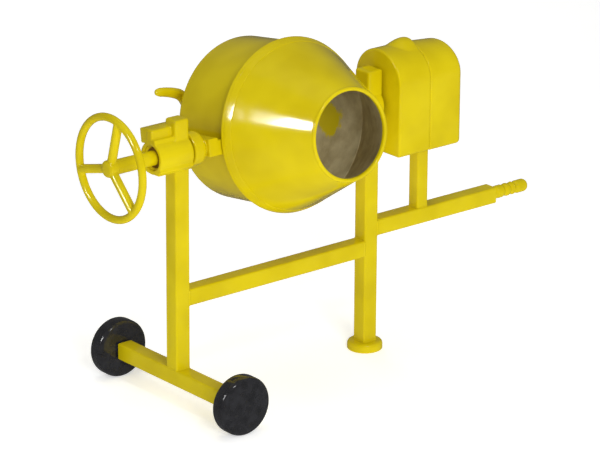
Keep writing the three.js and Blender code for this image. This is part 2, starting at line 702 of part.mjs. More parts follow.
// ---------- drive: pinion, shaft and large pulley turn about the trunnion axis ----------
function buildDrive() {
  const shape = new THREE.Shape();
  const lean = Math.tan(radians(flankAngle));
  const thickness = toothShare * Math.PI * gearModule;
  const [rootRadius, tipRadius] = [pinionPitch - dedendum, pinionPitch + addendum];
  const rootAngle = (thickness / 2 + dedendum * lean) / rootRadius;
  const tipAngle = (thickness / 2 - addendum * lean) / tipRadius;
  for (let i = 0; i < pinionTeeth; i += 1) {
    const middle = (i * 2 * Math.PI) / pinionTeeth;
    for (const [radius, offset] of [
      [rootRadius, -rootAngle], [tipRadius, -tipAngle], [tipRadius, tipAngle], [rootRadius, rootAngle],
    ]) {
      const point = [radius * Math.cos(middle + offset), radius * Math.sin(middle + offset)];
      if (i === 0 && offset === -rootAngle) shape.moveTo(...point);
      else shape.lineTo(...point);
    }
  }
  shape.closePath();
  const shaftHole = (end) => bar('x', pinionStartX - 1, end, driveShaftRadius + fitGap, {}, 24);
  const pinionHubEnd = rightArmX - armThickness / 2 - 3;
  add('pinion', cut(
    unite(extruded(shape, 'x', pinionStartX, pinionEndX), bar('x', pinionEndX - 1, pinionHubEnd, 24)),
    shaftHole(pinionHubEnd + 1),
  ), castIron, tipping);
  add('drive_shaft', bar('x', pinionStartX, pulleyX + pulleyWidth, driveShaftRadius, {}, 24), steel, tipping);

  const [start, end] = [pulleyX - pulleyWidth / 2, pulleyX + pulleyWidth / 2];
  const bore = driveShaftRadius + fitGap;
  const web = 5;
  add('large_pulley', turned([
    [bore, start - 6], [22, start - 6], [22, pulleyX - web / 2], [largePulleyRadius - 12, pulleyX - web / 2],
    [largePulleyRadius - 12, start], [largePulleyRadius, start], [largePulleyRadius, end],
    [largePulleyRadius - 12, end], [largePulleyRadius - 12, pulleyX + web / 2], [22, pulleyX + web / 2],
    [22, end], [bore, end],
  ], 'x', {}, 24), castIron, tipping);
}

// ---------- motor and its casing ----------
function archShape(inset, lift = 0) {
  const width = casingHalfWidth - inset;
  const bottom = casingBottomZ + inset + lift;
  const corner = Math.max(14 - inset, 3);
  const shape = new THREE.Shape();
  shape.absarc(width - corner, bottom + corner, corner, -Math.PI / 2, 0);
  shape.absellipse(0, casingShoulderZ, width, casingTopZ - casingShoulderZ - inset, 0, Math.PI);
  shape.absarc(-width + corner, bottom + corner, corner, Math.PI, Math.PI * 1.5);
  return shape;
}

// The arch drops evenly from the seam to the cover's outer end.
function lowered(geometry) {
  const { position } = geometry.attributes;
  for (let i = 0; i < position.count; i += 1) {
    const lift = Math.max(0, position.getZ(i) - casingShoulderZ) / (casingTopZ - casingShoulderZ);
    const along = (position.getX(i) - casingSeamX) / (casingRightX - casingSeamX);
    position.setZ(i, position.getZ(i) - casingFall * lift * along);
  }
  return geometry;
}

function buildCasing() {
  const seamGap = 0.5;
  const arch = { curveSegments: 8 };
  const shell = (from, to, openFrom, openTo) => cut(
    extruded(archShape(0), 'x', from, to, {}, { ...arch, edge: casingEdge }),
    extruded(archShape(casingWall + casingEdge * 0.4), 'x', openFrom, openTo, {}, arch),
  );
  const humpDepth = 10;                 // how deep the hump's middle lies under the arch
  const dome = new THREE.SphereGeometry(1, 14, 10);
  dome.scale(hump.reachX, hump.reachY, hump.top + humpDepth);
  dome.translate(casingSeamX - hump.inset, hump.y, casingTopZ - humpDepth);
  const beltCoverEnd = casingSeamX - seamGap / 2;
  const beltCover = cut(
    unite(shell(casingLeftX, beltCoverEnd, casingLeftX + casingWall, casingSeamX + 1), solid(dome)),
    block([beltCoverEnd, -casingHalfWidth, casingBottomZ], [casingRightX, casingHalfWidth, casingTopZ + 50]),
    extruded(archShape(casingWall + casingEdge * 0.4), 'x', casingLeftX + casingWall, casingSeamX + 1, {}, arch),
    bar('x', casingLeftX - 1, casingLeftX + casingWall + 1, driveShaftRadius + 8, { z: trunnionZ }),
  );
  add('belt_cover', beltCover, yellowPaint);

  const postRoom = motorPostSide / 2 + 1.5;
  const motorCover = cut(
    shell(casingSeamX + seamGap / 2, casingRightX, casingSeamX - 1, casingRightX - casingWall),
    block([casingSeamX - 1, -postRoom, casingBottomZ - 1],
      [motorPostX + postRoom, postRoom, casingBottomZ + casingWall + casingEdge]),
  );
  add('motor_cover', solid(lowered(geometryOf(motorCover))), yellowPaint);

  // Back plate with a foot that sits on the motor post.
  const plateInset = casingWall + casingEdge * 0.4 + 1.5;
  const [plateStart, plateEnd] = [casingSeamX - plateThickness / 2, casingSeamX + plateThickness / 2];
  const footZ = casingBottomZ + casingWall + 6 + fitGap;
  add('back_plate', cut(
    unite(
      extruded(archShape(plateInset), 'x', plateStart, plateEnd, {}, arch),
      block([plateStart, -40, footZ], [motorPostX + 40, 40, footZ + 6]),
    ),
    bar('x', plateStart - 1, plateEnd + 1, motorShaftRadius + 12, { z: motorShaftZ }, 24),
  ), steel);
  return plateEnd;
}

function buildMotor(plateFace) {
  const motorStart = plateFace + fitGap;
  const motorEnd = motorStart + motorLength;
  const fins = 18;
  const shape = new THREE.Shape();
  for (let i = 0; i < fins; i += 1) {
    for (const [radius, step] of [[motorRadius - 5, 0], [motorRadius, 0.2], [motorRadius, 0.5], [motorRadius - 5, 0.7]]) {
      const angle = ((i + step) * 2 * Math.PI) / fins;
      const point = [radius * Math.cos(angle), radius * Math.sin(angle)];
      if (i === 0 && step === 0) shape.moveTo(...point);
      else shape.lineTo(...point);
    }
  }
  shape.closePath();
  const at = { z: motorShaftZ };
  add('motor', cut(extruded(shape, 'x', motorStart, motorEnd, at),
    bar('x', motorStart - 1, motorEnd + 1, motorShaftRadius + runGap, at, 20)), motorGrey);

  const pulleyStart = pulleyX - pulleyWidth / 2;
  const pulleyEnd = pulleyX + pulleyWidth / 2;
  const fanEnd = motorEnd + 12;
  add('motor_shaft', bar('x', pulleyStart - 4, fanEnd, motorShaftRadius, at, 20), steel);
  const bore = motorShaftRadius + fitGap;
  const flange = smallPulleyRadius + beltThickness + 2;
  add('small_pulley', turned([
    [bore, pulleyStart], [flange, pulleyStart], [flange, pulleyStart + 2.5], [smallPulleyRadius, pulleyStart + 2.5],
    [smallPulleyRadius, pulleyEnd - 2.5], [flange, pulleyEnd - 2.5], [flange, pulleyEnd], [bore, pulleyEnd],
  ], 'x', at, 24), castIron);
  const hub = ring('x', motorEnd + 1, fanEnd, bore, 16, at, 20);
  let fan = hub;
  for (let i = 0; i < 6; i += 1) {
    const blade = new THREE.BoxGeometry(10, 32, 2);
    blade.translate(motorEnd + 6.5, 30, 0);
    blade.rotateX((i * Math.PI) / 3);
    fan = fan.add(solid(blade.translate(0, 0, motorShaftZ)));
  }
  add('motor_fan', fan, blackPlastic);

  const drop = motorShaftZ - trunnionZ;
  const outer = beltLoop(largePulleyRadius + fitGap + beltThickness, smallPulleyRadius + fitGap + beltThickness, drop);
  outer.holes.push(beltLoop(largePulleyRadius + fitGap, smallPulleyRadius + fitGap, drop));
  add('drive_belt', extruded(outer, 'x', pulleyX - beltWidth / 2, pulleyX + beltWidth / 2, { z: trunnionZ },
    { curveSegments: 14 }), beltRubber);

  const capacitorRadius = 18;
  add('capacitor', bar('x', plateFace + fitGap, plateFace + 74, capacitorRadius, { y: -66, z: trunnionZ - 108 }, 24),
    blackPlastic);
}

// The outline around two circles, the large one at the origin and the small one above it.
function beltLoop(large, small, distance) {
  const lean = Math.asin((large - small) / distance);
  const shape = new THREE.Shape();
  shape.absarc(0, distance, small, lean, Math.PI - lean);
  shape.absarc(0, 0, large, Math.PI - lean, 2 * Math.PI + lean);
  return shape;
}

function buildSwitchgear() {
  const face = casingRightX + fitGap;
  const switchZ = trunnionZ + 10;
  const buttonSpacing = 34;
  const buttons = [
    ['start_button', switchZ + buttonSpacing / 2, greenPlastic],
    ['stop_button', switchZ - buttonSpacing / 2, redPlastic],
  ];
  let box = extruded(roundedRect(switchSize.width, switchSize.height, 6), 'x', face, face + switchSize.depth,
    { z: switchZ }, { edge: 2 });
  for (const [name, z, material] of buttons) {
    const floor = face + 2.5;
    box = box.subtract(bar('x', floor, face + switchSize.depth + 1, buttonRadius + runGap, { z }, 24));
    const start = floor + fitGap + buttonTravel;
    const end = face + switchSize.depth + buttonTravel + 1.5;
    add(name, turned([[0, start], [buttonRadius, start], [buttonRadius, end - 1.5], [buttonRadius - 1.5, end],
      [0, end]], 'x', { z }, 24), material);
  }
  add('switch_box', box, blackPlastic);

  // Three pins in a round well take the extension lead's socket.
  const inletZ = trunnionZ - 72;
  const well = cut(
    extruded(roundedRect(inletSize.width, inletSize.height, 8), 'x', face, face + inletSize.depth,
      { z: inletZ }, { edge: 2 }),
    bar('x', face + 4, face + inletSize.depth + 1, 21, { z: inletZ }, 24),
  );
  const pin = (y, z) => bar('x', face + 3, face + inletSize.depth - 5, 2.5, { y, z: inletZ + z }, 8);
  add('power_inlet', unite(well, pin(-9, -4), pin(9, -4), pin(0, 9)), blackPlastic);
}

buildFrame();
buildWheels();
buildBearings();
buildHandwheel();
buildYoke();
buildDrum();
buildDrive();
buildMotor(buildCasing());
buildSwitchgear();

mixer.updateMatrixWorld(true);

export default mixer;
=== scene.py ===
import json
import math

import bmesh
import bpy
from mathutils import Matrix, Vector


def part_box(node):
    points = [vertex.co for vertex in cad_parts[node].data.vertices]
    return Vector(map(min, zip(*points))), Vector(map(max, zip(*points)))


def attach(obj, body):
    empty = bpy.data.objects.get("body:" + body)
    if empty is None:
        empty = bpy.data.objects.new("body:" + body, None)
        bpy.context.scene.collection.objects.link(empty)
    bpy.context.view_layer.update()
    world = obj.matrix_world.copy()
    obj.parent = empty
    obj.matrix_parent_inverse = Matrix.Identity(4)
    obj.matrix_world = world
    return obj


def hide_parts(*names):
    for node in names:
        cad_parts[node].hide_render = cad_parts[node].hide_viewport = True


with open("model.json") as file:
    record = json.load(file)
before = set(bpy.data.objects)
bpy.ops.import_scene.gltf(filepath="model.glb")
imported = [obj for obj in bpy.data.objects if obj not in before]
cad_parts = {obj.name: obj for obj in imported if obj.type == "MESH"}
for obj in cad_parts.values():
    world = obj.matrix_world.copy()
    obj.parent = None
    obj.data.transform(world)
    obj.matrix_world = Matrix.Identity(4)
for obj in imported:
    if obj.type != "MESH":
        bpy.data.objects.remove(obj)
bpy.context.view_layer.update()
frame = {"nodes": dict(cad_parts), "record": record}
record = frame["record"]
bodyOf = {node: body for body, nodes in record["behaviour"]["bodies"].items() for node in nodes}
slotOf = {entry["node"]: entry["material_slot"] for entry in record["subparts"]}
print("frame loaded")

# Sizes are in millimetres, with X counted from the left post, until a piece is placed.
stand = {"postSpan": 850, "tube": 60, "wall": 3, "corner": 6, "weld": 6,
         "trunnionHeight": 920, "restTilt": 8,
         "drumX": 460, "drumRise": 10, "motorPost": 1095}
half = stand["tube"] / 2
machine = Matrix.Translation((-stand["postSpan"] / 1000, 0, 0)) @ Matrix.Scale(0.001, 4)
tipping = (machine @ Matrix.Translation((0, 0, stand["trunnionHeight"]))
           @ Matrix.Rotation(math.radians(-stand["restTilt"]), 4, "X"))
# the drum is built about Z with its mouth at the top, and laid along its real axis
drumPlace = (tipping @ Matrix.Translation((stand["drumX"], 0, stand["drumRise"]))
             @ Matrix.Rotation(math.radians(90), 4, "X"))
turnTo = {"x": Matrix.Rotation(math.radians(90), 4, "Y"),
          "y": Matrix.Rotation(math.radians(-90), 4, "X"),
          "z": Matrix.Identity(4)}


# ---- materials ----

def rgb(hexColour):
    # sRGB hex to linear RGBA
    parts = [int(hexColour[i:i + 2], 16) / 255 for i in (1, 3, 5)]
    linear = [p / 12.92 if p <= 0.04045 else ((p + 0.055) / 1.055) ** 2.4 for p in parts]
    return (*linear, 1)


def addNode(owner, kind, inputs=None, out=0, **settings):
    # adds a node, sets or links its inputs, and hands back one of its outputs
    node = owner.node_tree.nodes.new("ShaderNode" + kind)
    for name, value in settings.items():
        setattr(node, name, value)
    for socket, value in (inputs or {}).items():
        if isinstance(value, bpy.types.NodeSocket):
            owner.node_tree.links.new(value, node.inputs[socket])
        else:
            node.inputs[socket].default_value = value
    return node.outputs[out]


def newMaterial(name, **sockets):
    material = bpy.data.materials.new(name)
    material.use_nodes = True
    shader = material.node_tree.nodes["Principled BSDF"]
    for socket, value in sockets.items():
        shader.inputs[socket.replace("_", " ")].default_value = value
    return material, addNode(material, "TexCoord", out="Object")


def feed(material, **sockets):
    # links finished patterns to the shader
    shader = material.node_tree.nodes["Principled BSDF"]
    for socket, value in sockets.items():
        material.node_tree.links.new(value, shader.inputs[socket.replace("_", " ")])
    return material


def perMetre(width):
    # the scale of a pattern whose blotches are this many millimetres wide
    return 1000 / width


def enamelPaint(name="yellowEnamel"):
    # Two-pack enamel sprayed on steel: deep gloss, a faint orange peel and slow drifts in the tint.
    # A real peel is 1 to 3 mm wide; it is drawn coarser so that it shows.
    enamel = {"light": "#dfca0c", "deep": "#d3bd05", "drift": 160, "haze": 45, "peel": 7, "peelDepth": 0.03}
    material, place = newMaterial(name, Roughness=0.15, IOR=1.45, Coat_Weight=0.3, Coat_Roughness=0.04)
    drift = addNode(material, "TexNoise", {"Vector": place, "Scale": perMetre(enamel["drift"])})
    drift = addNode(material, "MapRange", {"Value": drift, "From Min": 0.35, "From Max": 0.65})
    tint = addNode(material, "Mix", {0: drift, 6: rgb(enamel["deep"]), 7: rgb(enamel["light"])}, 2,
                   data_type="RGBA")
    haze = addNode(material, "TexNoise", {"Vector": place, "Scale": perMetre(enamel["haze"]), "Detail": 4})
    haze = addNode(material, "MapRange", {"Value": haze, "From Min": 0.3, "From Max": 0.7,
                                          "To Min": 0.11, "To Max": 0.19})
    peel = addNode(material, "TexNoise", {"Vector": place, "Scale": perMetre(enamel["peel"]), "Detail": 1})
    peel = addNode(material, "Bump", {"Height": peel, "Distance": enamel["peelDepth"] / 1000,
                                      "Strength": 0.5})
    return feed(material, Base_Color=tint, Roughness=haze, Normal=peel)


def cementFilm(name="cementFilm"):
    # Dried cement slurry over worn paint: dull, blotched and gritty, with paint bare where the mix slides.
    # That bare patch is also painted brighter than the outer enamel, as a painted pool of light.
    # The grit is the size of coarse sand.
    film = {"dark": "#c4b486", "pale": "#ece0b6", "paint": "#f4df14", "blotch": 60, "grit": 2.5,
            "ragged": 38, "raggedness": 0.09, "bareAndLitPatch": 107, "edge": 8, "bareAndLitAt": (283, -49, -84)}
    material, place = newMaterial(name, Roughness=0.75)
    blotch = addNode(material, "TexNoise", {"Vector": place, "Scale": perMetre(film["blotch"]), "Detail": 5,
                                            "Roughness": 0.6})
    blotch = addNode(material, "MapRange", {"Value": blotch, "From Min": 0.3, "From Max": 0.7})
    slurry = addNode(material, "Mix", {0: blotch, 6: rgb(film["dark"]), 7: rgb(film["pale"])}, 2,
                     data_type="RGBA")
    # distance from the middle of the bare patch, which is also a painted pool of light, with a ragged edge
    # added
    away = addNode(material, "VectorMath", {0: place, 1: drumPlace @ Vector(film["bareAndLitAt"])}, "Value",
                   operation="DISTANCE")
    ragged = addNode(material, "TexNoise", {"Vector": place, "Scale": perMetre(film["ragged"]), "Detail": 4,
                                            "Roughness": 0.7})
    ragged = addNode(material, "Math", {0: ragged, 1: film["raggedness"], 2: away}, operation="MULTIPLY_ADD")
    bareAndLit = addNode(material, "MapRange", {"Value": ragged,
                                          "From Min": (film["bareAndLitPatch"] + film["edge"]) / 1000,
                                          "From Max": (film["bareAndLitPatch"] - film["edge"]) / 1000})
    # the bare patch takes a yellow lighter than the outer enamel: real bare paint with a painted pool of
    # light on it
    tint = addNode(material, "Mix", {0: bareAndLit, 6: slurry, 7: rgb(film["paint"])}, 2, data_type="RGBA")
    dull = addNode(material, "MapRange", {"Value": bareAndLit, "To Min": 0.72, "To Max": 0.3})
    grit = addNode(material, "TexNoise", {"Vector": place, "Scale": perMetre(film["grit"]), "Detail": 3})
    grit = addNode(material, "Bump", {"Height": grit, "Distance": 0.0003, "Strength": 0.6})
    return feed(material, Base_Color=tint, Roughness=dull, Normal=grit)


def wheelPlastic(name="blackWheelPlastic"):
    # Polypropylene moulded in a polished tool: near-black, sharp reflections, fine scuffs on the tread.
    wheelSkin = {"dark": "#1f1f21", "worn": "#2e2e31", "blotch": 30, "scuff": 12, "ripple": 9}
    material, place = newMaterial(name, Roughness=0.14, IOR=1.49, Coat_Weight=0.3, Coat_Roughness=0.03)
    worn = addNode(material, "TexNoise", {"Vector": place, "Scale": perMetre(wheelSkin["blotch"]),
                                          "Detail": 4})
    worn = addNode(material, "MapRange", {"Value": worn, "From Min": 0.3, "From Max": 0.7})
    tint = addNode(material, "Mix", {0: worn, 6: rgb(wheelSkin["dark"]), 7: rgb(wheelSkin["worn"])}, 2,
                   data_type="RGBA")
    scuff = addNode(material, "TexNoise", {"Vector": place, "Scale": perMetre(wheelSkin["scuff"]),
                                           "Detail": 6, "Roughness": 0.7})
    scuff = addNode(material, "MapRange", {"Value": scuff, "From Min": 0.45, "From Max": 0.75,
                                           "To Min": 0.1, "To Max": 0.26})
    ripple = addNode(material, "TexNoise", {"Vector": place, "Scale": perMetre(wheelSkin["ripple"]),
                                            "Detail": 1})
    ripple = addNode(material, "Bump", {"Height": ripple, "Distance": 0.00004, "Strength": 0.4})
    return feed(material, Base_Color=tint, Roughness=scuff, Normal=ripple)


def plainPlastic(name, colour, roughness, grain=1.2):
    # Injection-moulded plastic with a spark-eroded texture, coarser than the real 0.1 mm so that it shows.
    material, place = newMaterial(name, Base_Color=rgb(colour), Roughness=roughness, IOR=1.5)
    spark = addNode(material, "TexNoise", {"Vector": place, "Scale": perMetre(grain)})
    spark = addNode(material, "Bump", {"Height": spark, "Distance": 0.00005, "Strength": 0.5})
    return feed(material, Normal=spark)


def turnedSteel(name="turnedSteel"):
    # Bright turned steel: tool marks that blur the reflection, drawn wider than a real feed of 0.2 mm.
    material, place = newMaterial(name, Base_Color=rgb("#b9babb"), Metallic=1.0, Roughness=0.32)
    stretch = addNode(material, "Mapping", {"Vector": place, "Scale": (1, 1, 12)})
    marks = addNode(material, "TexNoise", {"Vector": stretch, "Scale": perMetre(6), "Detail": 5,
                                           "Roughness": 0.7})
    blur = addNode(material, "MapRange", {"Value": marks, "From Min": 0.3, "From Max": 0.7,
                                          "To Min": 0.24, "To Max": 0.42})
    relief = addNode(material, "Bump", {"Height": marks, "Distance": 0.00002, "Strength": 0.4})
    return feed(material, Roughness=blur, Normal=relief)


def castIron(name="castIron"):
    # Sand-cast iron left raw: dark grey, pitted by the mould.
    material, place = newMaterial(name, Base_Color=rgb("#56534f"), Metallic=0.85, Roughness=0.55)
    pits = addNode(material, "TexNoise", {"Vector": place, "Scale": perMetre(2), "Detail": 4,
                                          "Roughness": 0.7})
    pits = addNode(material, "Bump", {"Height": pits, "Distance": 0.00025, "Strength": 0.8})
    return feed(material, Normal=pits)


def sinteredBronze(name="sinteredBronze"):
    # Oil-filled sintered bronze: dull gold with a fine pore, drawn coarser than life.
    material, place = newMaterial(name, Base_Color=rgb("#a5803f"), Metallic=1.0, Roughness=0.42)
    pores = addNode(material, "TexNoise", {"Vector": place, "Scale": perMetre(0.8), "Detail": 3})
    pores = addNode(material, "Bump", {"Height": pores, "Distance": 0.00004, "Strength": 0.6})
    return feed(material, Normal=pores)


def beltRubber(name="beltRubber"):
    # Ribbed rubber with a dull, slightly dusty back.
    material, place = newMaterial(name, Roughness=0.8)
    dust = addNode(material, "TexNoise", {"Vector": place, "Scale": perMetre(15), "Detail": 4})
    dust = addNode(material, "MapRange", {"Value": dust, "From Min": 0.4, "From Max": 0.7})
    tint = addNode(material, "Mix", {0: dust, 6: rgb("#191919"), 7: rgb("#2e2d2b")}, 2, data_type="RGBA")
    weave = addNode(material, "TexNoise", {"Vector": place, "Scale": perMetre(1.5)})
    weave = addNode(material, "Bump", {"Height": weave, "Distance": 0.00008, "Strength": 0.6})
    return feed(material, Base_Color=tint, Normal=weave)


def motorPaint(name="motorGreyPaint"):
    # Satin grey paint over a finned aluminium casting.
    material, place = newMaterial(name, Base_Color=rgb("#74787c"), Metallic=0.2, Roughness=0.45)
    skin = addNode(material, "TexNoise", {"Vector": place, "Scale": perMetre(3), "Detail": 3})
    skin = addNode(material, "Bump", {"Height": skin, "Distance": 0.00012, "Strength": 0.6})
    return feed(material, Normal=skin)


def floorPaper(name="floorPaper"):
    # Matt studio paper, lit through a little from below so that it stays pale.
    material, place = newMaterial(name, Roughness=0.9, Emission_Color=rgb("#ffffff"), Emission_Strength=0.5)
    fibre = addNode(material, "TexNoise", {"Vector": place, "Scale": perMetre(300)})
    fibre = addNode(material, "MapRange", {"Value": fibre, "From Min": 0.3, "From Max": 0.7})
    tint = addNode(material, "Mix", {0: fibre, 6: rgb("#f1f1ef"), 7: rgb("#f4f4f2")}, 2, data_type="RGBA")
    return feed(material, Base_Color=tint)


yellow = enamelPaint()
inside = cementFilm()
finishes = {"yellow_paint": yellow, "yellow_cover": yellow, "black_wheel": wheelPlastic(),
            "white_plastic": plainPlastic("nylonBush", "#d6d6cf", 0.5),
            "steel": turnedSteel(), "cast_iron": castIron(), "bronze": sinteredBronze(),
            "black_plastic": plainPlastic("blackMouldedPlastic", "#1c1c1e", 0.45),
            "belt_rubber": beltRubber(),
            "green_plastic": plainPlastic("greenButtonPlastic", "#1f8a43", 0.3, 4.0),
            "red_plastic": plainPlastic("redButtonPlastic", "#b51f18", 0.3, 4.0),
            "motor_grey": motorPaint()}
print("materials made")


# ---- shape helpers ----

def camel(node):
    first, *rest = node.split("_")
    return first + "".join(word.capitalize() for word in rest)


def turned(bm, axis, at):
    bmesh.ops.transform(bm, matrix=Matrix.Translation(at) @ turnTo[axis], verts=bm.verts)
    return bm


def lathe(outline, axis="z", at=(0, 0, 0), steps=128):
    # outline: (radius, along, rounding of that corner); it starts and ends on the axis, or closes
    bm = bmesh.new()
    corners = [bm.verts.new((radius, 0, along)) for radius, along, _ in outline]
    for first, second in zip(corners, corners[1:]):
        bm.edges.new((first, second))
    if outline[0][0] > 0:
        bm.edges.new((corners[-1], corners[0]))
    for corner, (_, _, rounding) in zip(corners, outline):
        if rounding:
            bmesh.ops.bevel(bm, geom=[corner], offset=rounding, offset_type="OFFSET", segments=6,
                            profile=0.5, affect="VERTICES", material=-1)
    bmesh.ops.spin(bm, geom=bm.verts[:] + bm.edges[:], cent=(0, 0, 0), axis=(0, 0, 1), angle=2 * math.pi,
                   steps=steps, use_merge=True)
    bmesh.ops.remove_doubles(bm, verts=bm.verts, dist=0.001)
    bmesh.ops.recalc_face_normals(bm, faces=bm.faces)
    return turned(bm, axis, at)


def bar(axis, start, end, radius, at=(0, 0, 0), steps=96, endRadius=None):
    bm = bmesh.new()
    bmesh.ops.create_cone(bm, cap_ends=True, segments=steps, radius1=radius,
                          radius2=radius if endRadius is None else endRadius, depth=end - start)
    bmesh.ops.translate(bm, vec=(0, 0, (start + end) / 2), verts=bm.verts)
    return turned(bm, axis, at)


def block(low, high, edge=0, segments=4):
    bm = bmesh.new()
    size = [h - l for l, h in zip(low, high)]
    middle = [(h + l) / 2 for l, h in zip(low, high)]
    bmesh.ops.create_cube(bm, size=1)
    bmesh.ops.scale(bm, vec=size, verts=bm.verts)
    bmesh.ops.translate(bm, vec=middle, verts=bm.verts)
    if edge:
        bmesh.ops.bevel(bm, geom=bm.edges[:], offset=edge, segments=segments, profile=0.5, affect="EDGES",
                        material=-1)
    return bm


def heldObject(bm, name="tool"):
    mesh = bpy.data.meshes.new(name)
    bm.to_mesh(mesh)
    bm.free()
    held = bpy.data.objects.new(name, mesh)
    bpy.context.collection.objects.link(held)
    return held


def applied(held):
    graph = bpy.context.evaluated_depsgraph_get()
    mesh = bpy.data.meshes.new_from_object(held.evaluated_get(graph))
    held.modifiers.clear()
    held.data = mesh
    return held


def worked(piece, shapes, operation, solver="EXACT"):
    # joins the shapes to the piece, or takes them away from it, one at a time
    for shape in shapes:
        tool = heldObject(shape)
        boolean = piece.modifiers.new(operation.lower(), "BOOLEAN")
        boolean.operation = operation
        boolean.solver = solver
        boolean.object = tool
        applied(piece)
        bpy.data.objects.remove(tool)
    return piece


def combined(solids, cuts=()):
    whole = worked(heldObject(solids[0], "whole"), solids[1:], "UNION")
    return worked(whole, cuts, "DIFFERENCE")


def castEdges(whole, voxel, passes):
    # an even skin, then smoothing, gives the soft edges and fillets of a casting
    remesh = whole.modifiers.new("skin", "REMESH")
    remesh.mode = "VOXEL"
    remesh.voxel_size = voxel
    smooth = whole.modifiers.new("soften", "SMOOTH")
    smooth.factor = 0.5
    smooth.iterations = passes
    return applied(whole)


def finishPiece(node, shape, place=machine, finish=None, softAngle=35):
    piece = heldObject(shape) if isinstance(shape, bmesh.types.BMesh) else shape
    piece.name = camel(node)
    piece.data.name = camel(node)
    piece.data.transform(place)
    if piece.data.materials:
        piece.data.materials.clear()  # the empty slots that a boolean leaves
    for material in finish or [finishes[slotOf[node]]]:
        piece.data.materials.append(material)
    piece.data.shade_smooth()
    piece.data.set_sharp_from_angle(angle=math.radians(softAngle))
    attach(piece, bodyOf[node])
    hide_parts(node)
    return piece


def smoothCopy(node, finish=None, softAngle=40):
    # the CAD piece with its loose triangles merged and its round faces shaded smooth
    bm = bmesh.new()
    bm.from_mesh(frame["nodes"][node].data)
    bmesh.ops.remove_doubles(bm, verts=bm.verts, dist=0.00001)
    bmesh.ops.dissolve_limit(bm, angle_limit=math.radians(1), verts=bm.verts, edges=bm.edges)
    return finishPiece(node, bm, Matrix.Identity(4), finish, softAngle)


# ---- stand ----

def squareTube(node, axis, wall=stand["wall"], corner=stand["corner"], cuts=(), welds=()):
    low, high = (Vector(c) * 1000 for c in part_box(node))
    low.x += stand["postSpan"]
    high.x += stand["postSpan"]
    index = "xyz".index(axis)
    bm = block(low, high)
    long = [e for e in bm.edges if abs((e.verts[0].co - e.verts[1].co)[index]) > 1]
    bmesh.ops.bevel(bm, geom=long, offset=corner, segments=6, profile=0.5, affect="EDGES", material=-1)
    ends = [f for f in bm.faces if abs(f.normal[index]) > 0.9]
    bmesh.ops.delete(bm, geom=ends, context="FACES_ONLY")
    tube = heldObject(bm, "tube")
    thicken = tube.modifiers.new("wall", "SOLIDIFY")
    thicken.thickness = wall
    thicken.offset = -1
    applied(tube)
    worked(tube, cuts, "DIFFERENCE")
    for joint, halfSize in welds:
        welded(tube, joint, axis, halfSize, stand["weld"])
    return finishPiece(node, tube)


def welded(piece, joint, axis, halfSize, radius):
    # round beads along the four sides of a square tube's end
    index = "xyz".index(axis)
    first, second = [i for i in range(3) if i != index]
    beads = []
    for along, across in ((first, second), (second, first)):
        for side in (-1, 1):
            at = list(joint)
            at[across] += side * (halfSize - radius * 0.8)
            at[along] = 0
            middle = joint[along]
            reach = halfSize - radius * 0.6
            beads.append(bar("xyz"[along], middle - reach, middle + reach, radius, at, 20))
    worked(piece, beads, "UNION")


housing = {"radius": 58, "start": -112, "recess": 12, "bore": 35.5, "tower": 122, "lugTop": 98, "lugBack": 28,
           "lugFront": -6, "rightBore": 39.5, "blockFront": -56, "blockBack": 42, "blockTop": 66,
           "driveTower": 134, "driveTowerX": (-29, 37), "driveTowerY": 38}


def makeStand():
    squareTube("axle_beam", "y")
    saddle = {x: bar("x", x - 60, x + 60, housing["radius"] + 0.3, (0, 0, stand["trunnionHeight"]))
              for x in (0, stand["postSpan"])}
    seat = stand["trunnionHeight"] - housing["radius"] + 1.7
    flat = block((-60, -60, seat), (60, 60, stand["trunnionHeight"]))
    squareTube("left_post", "z", cuts=[saddle[0], flat], welds=[((0, 0, 135), half)])
    squareTube("right_post", "z", cuts=[saddle[stand["postSpan"]]],
               welds=[((stand["postSpan"], 0, 33), half)])
    rail, drawbar = 392, 461
    squareTube("lower_rail", "x", welds=[((half, 0, rail), half),
                                         ((stand["postSpan"] - half, 0, rail), half)])
    squareTube("drawbar", "x", welds=[((stand["postSpan"] + half, 0, drawbar), half)])
    squareTube("motor_post", "z", welds=[((stand["motorPost"], 0, drawbar + half), 25)])
    foot = {"radius": 64, "height": 33}
    finishPiece("foot_pad", lathe([(0, 0, 0), (foot["radius"], 0, 5), (foot["radius"], foot["height"], 13),
                                   (0, foot["height"], 0)], at=(stand["postSpan"], 0, 0)))
    for node in ("axle_plug_near", "axle_plug_far", "axle_rod"):
        smoothCopy(node)


def makeTowGrip():
    grip = {"start": 1450.3, "length": 170, "radius": 24, "waist": 17, "waists": (14, 58, 88, 111),
            "height": 461, "spigot": 53.4, "collar": 25}
    outline = [(0, 0, 0), (grip["collar"], 0, 4)]
    for start, end in zip(grip["waists"], grip["waists"][1:] + (grip["length"],)):
        last = end == grip["length"]
        outline += [(grip["waist"], start, 1.5), (grip["radius"], start + 8, 5)]
        outline.append((grip["radius"], end if last else end - 8, 17 if last else 5))
    outline.append((0, grip["length"], 0))
    hand = lathe(outline, "x", (grip["start"], 0, grip["height"]), 64)
    side = grip["spigot"] / 2
    spigot = block((grip["start"] - 60, -side, grip["height"] - side),
                   (grip["start"] + 1.5, side, grip["height"] + side), 2.5)
    finishPiece("tow_grip", combined([hand, spigot]))


